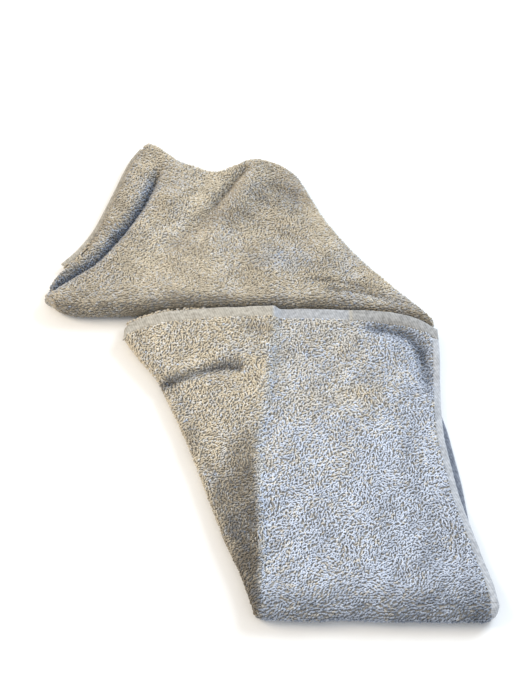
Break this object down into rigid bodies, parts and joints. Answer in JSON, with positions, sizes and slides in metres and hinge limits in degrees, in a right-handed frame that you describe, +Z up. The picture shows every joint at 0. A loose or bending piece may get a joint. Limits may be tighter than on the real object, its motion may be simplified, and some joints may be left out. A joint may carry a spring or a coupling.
{
  "type": "golf towel",
  "caption": "Terry golf towel folded and laid flat, with a flat-woven end hem, stitched side hems and a front flap that opens about its fold.",
  "frame": {"origin": "centre of the folded towel's outline, on the surface that it lies on", "axes": "+Z up, +Y from the front fold towards the rear packet, +X to the right"},
  "size_m": [0.3732, 0.496, 0.025],
  "materials": {
    "terry": "matte",
    "hem": "matte",
    "thread": "matte"
  },
  "bodies": {
    "laid_towel": {"front_under_layer": "terry", "under_side_hem": "hem", "front_fold": "terry", "rear_bottom_layer": "terry", "rear_middle_layer": "terry", "rear_top_layer": "terry", "rear_front_fold": "terry", "rear_right_fold": "terry", "rear_far_fold": "terry", "left_end_roll": "terry", "far_end_hem": "hem", "far_hem_stitching": "thread"},
    "front_flap": {"front_flap_layer": "terry", "left_fold": "terry", "tucked_corner_layer": "terry", "tucked_side_hem": "hem", "tucked_end_hem": "hem", "right_side_hem": "hem", "end_hem": "hem", "end_hem_stitching": "thread", "right_side_stitching": "thread"}
  },
  "joints": [
    {"name": "front_flap_fold", "type": "hinge", "parent": "laid_towel", "child": "front_flap", "pos_m": [-0.0014, -0.24168, 0.0065], "axis": [1, 0, 0], "range_deg": [0, 110], "deforming": ["front_fold"]}
  ]
}
